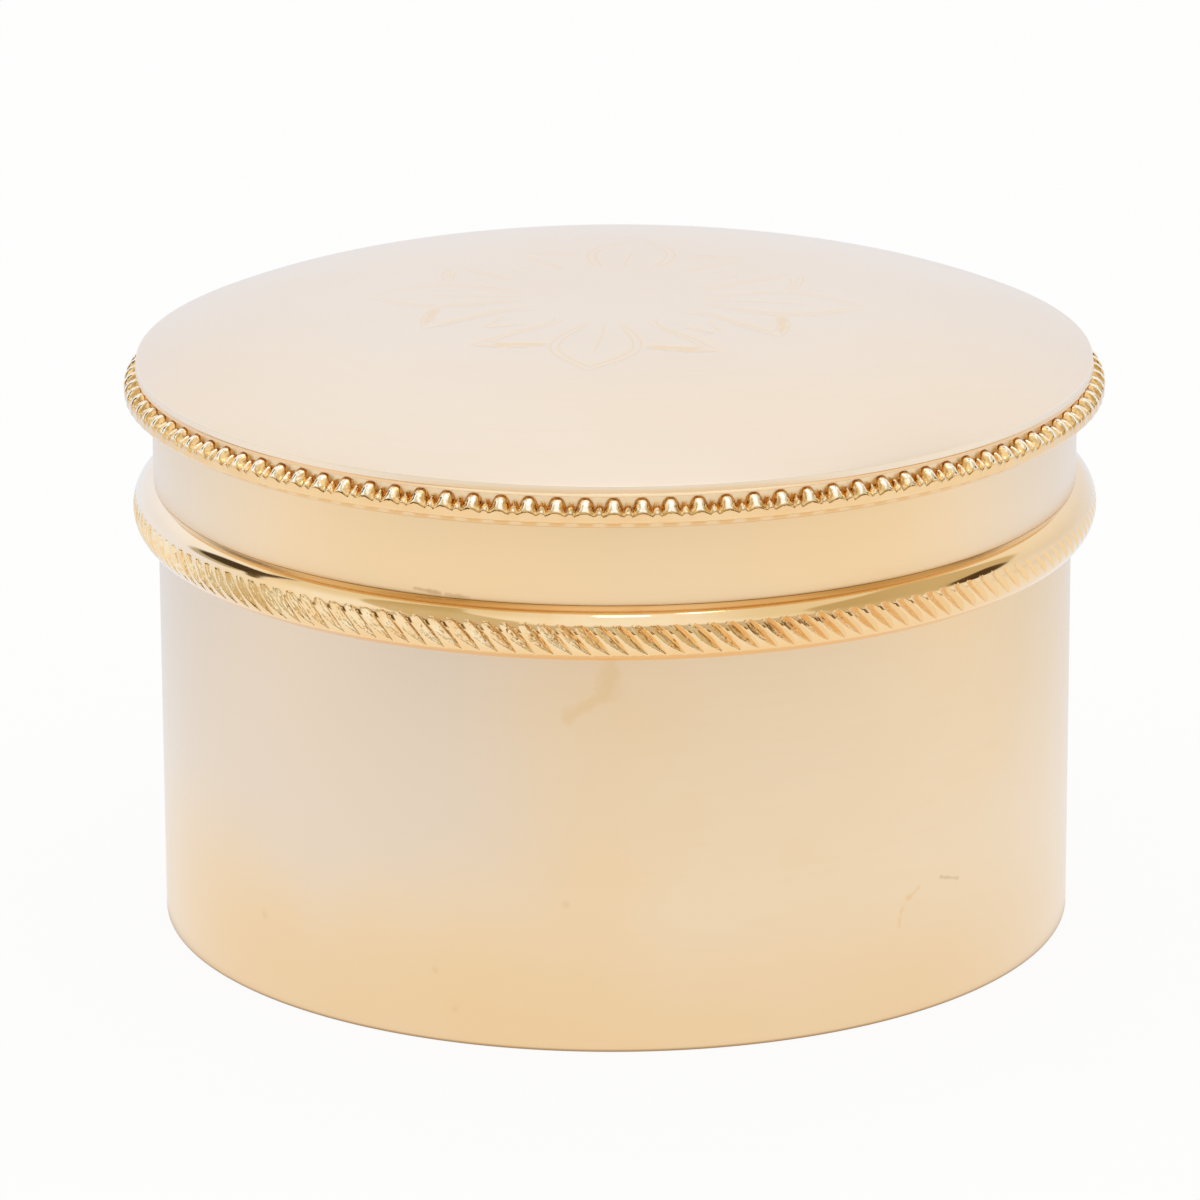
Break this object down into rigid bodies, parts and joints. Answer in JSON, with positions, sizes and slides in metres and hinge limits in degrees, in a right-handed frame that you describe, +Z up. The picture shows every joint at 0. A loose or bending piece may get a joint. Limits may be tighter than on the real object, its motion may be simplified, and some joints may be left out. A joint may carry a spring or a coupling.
{
  "type": "host box",
  "caption": "Round gilt metal box for altar breads with a domed lift-off lid, a beaded lid edge and a rope-cut moulding round the mouth.",
  "frame": {"origin": "centre of the underside of the box", "axes": "+Z up along the axis of the box; -Y towards the viewer of the picture"},
  "size_m": [0.1068, 0.1068, 0.0686],
  "materials": {
    "satin_gold": "satin gold plating, finely brushed round the axis",
    "polished_gold": "mirror-polished gold plating",
    "gilt_inside": "plain satin gold plating"
  },
  "bodies": {
    "box": {"body_wall": "satin_gold", "base_plate": "gilt_inside", "inner_collar": "gilt_inside", "rope_ring": "polished_gold"},
    "lid": {"lid_skirt": "satin_gold", "bead_ring": "polished_gold", "lid_dome": "satin_gold"}
  },
  "joints": [
    {"name": "lid_lift", "type": "slide", "parent": "box", "child": "lid", "axis": [0, 0, 1], "range_m": [0, 0.1]}
  ]
}
